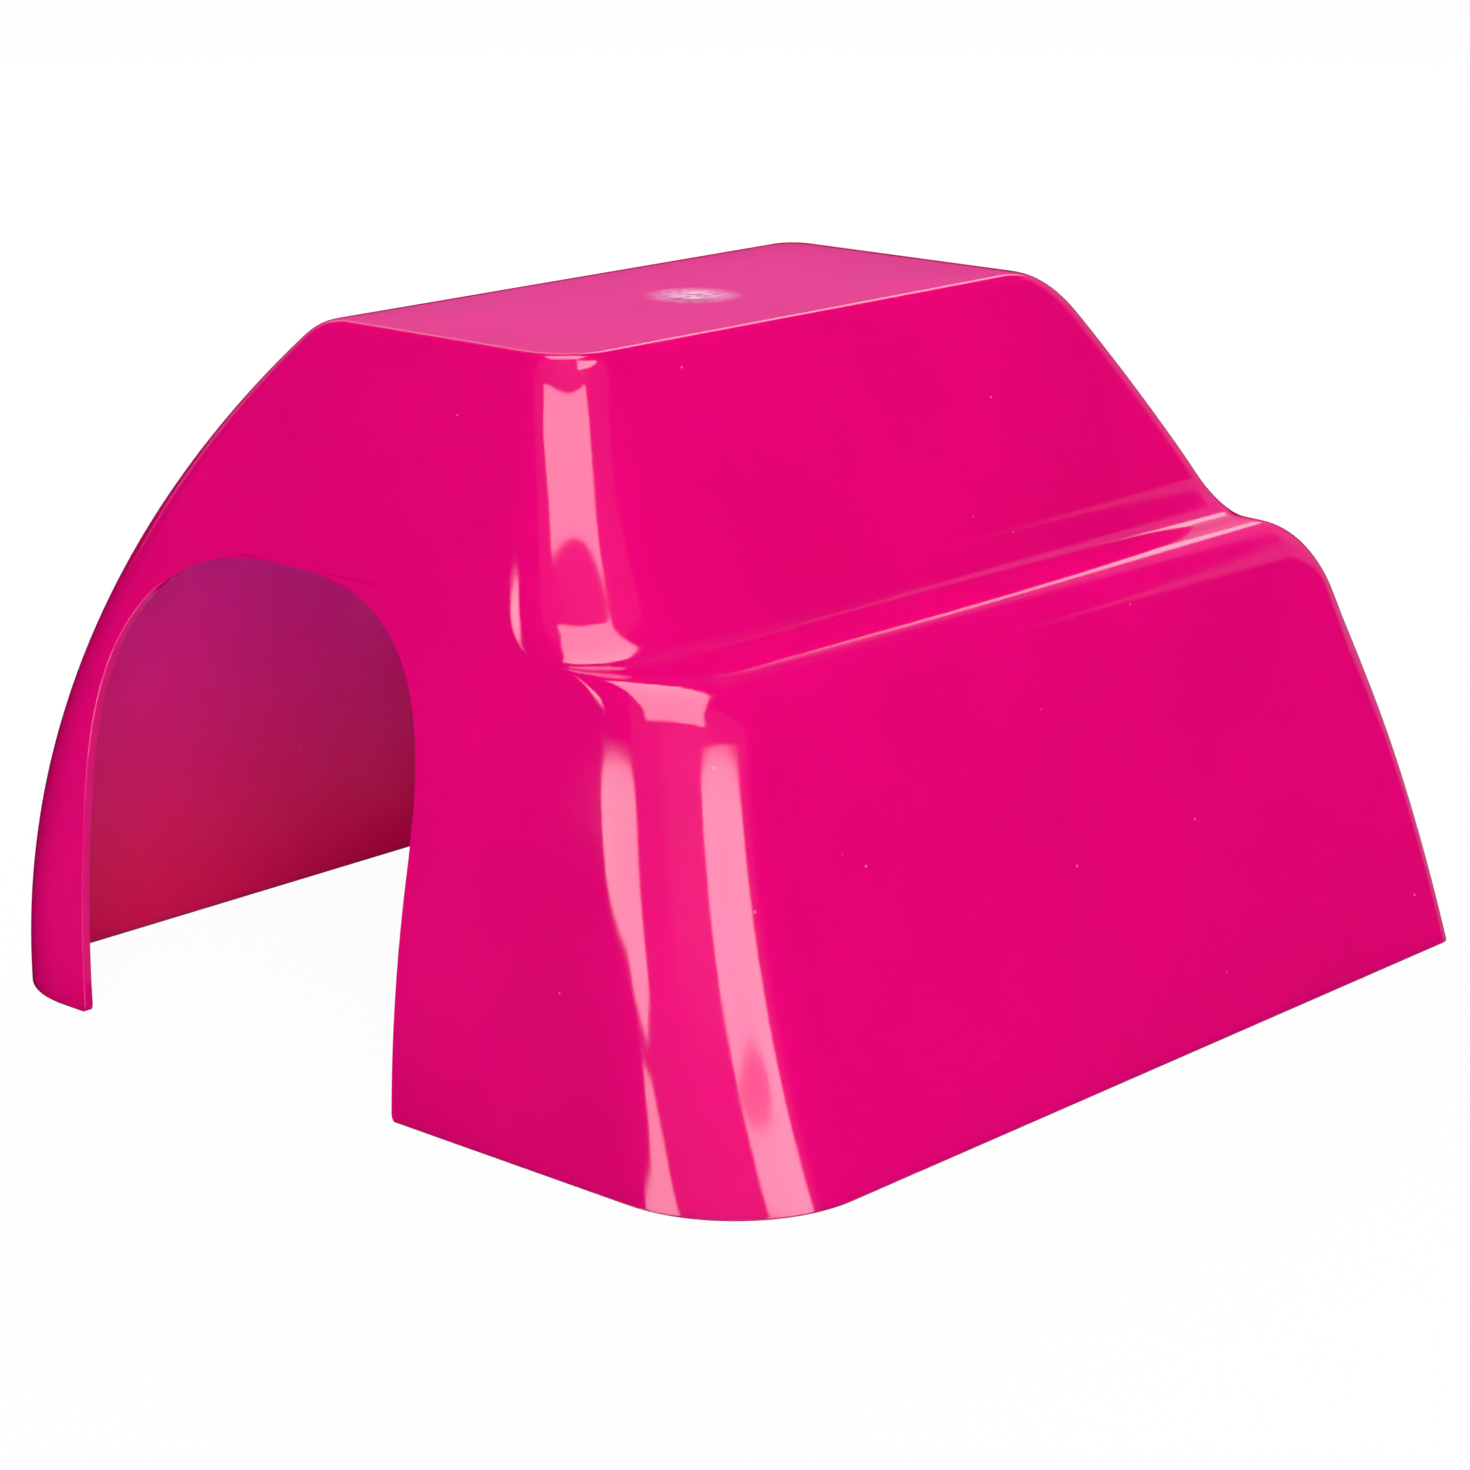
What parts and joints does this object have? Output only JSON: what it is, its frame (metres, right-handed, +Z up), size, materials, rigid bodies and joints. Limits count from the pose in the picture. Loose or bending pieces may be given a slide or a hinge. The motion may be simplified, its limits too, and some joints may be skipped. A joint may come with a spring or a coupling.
{
  "type": "guinea pig house",
  "caption": "Open-bottomed plastic hideout for guinea pigs: a thin moulded shell with leaning walls, a flat roof, an arched doorway and a shallow step along one side.",
  "frame": {"origin": "middle of the foot's outline, on the plane that the foot stands on", "axes": "+Z up, the doorway faces -Y, the stepped side faces +X and the bowed side faces -X"},
  "size_m": [0.247, 0.26, 0.162],
  "materials": {
    "shell": "glossy"
  },
  "bodies": {
    "root": {"house_shell": "shell"}
  },
  "joints": []
}
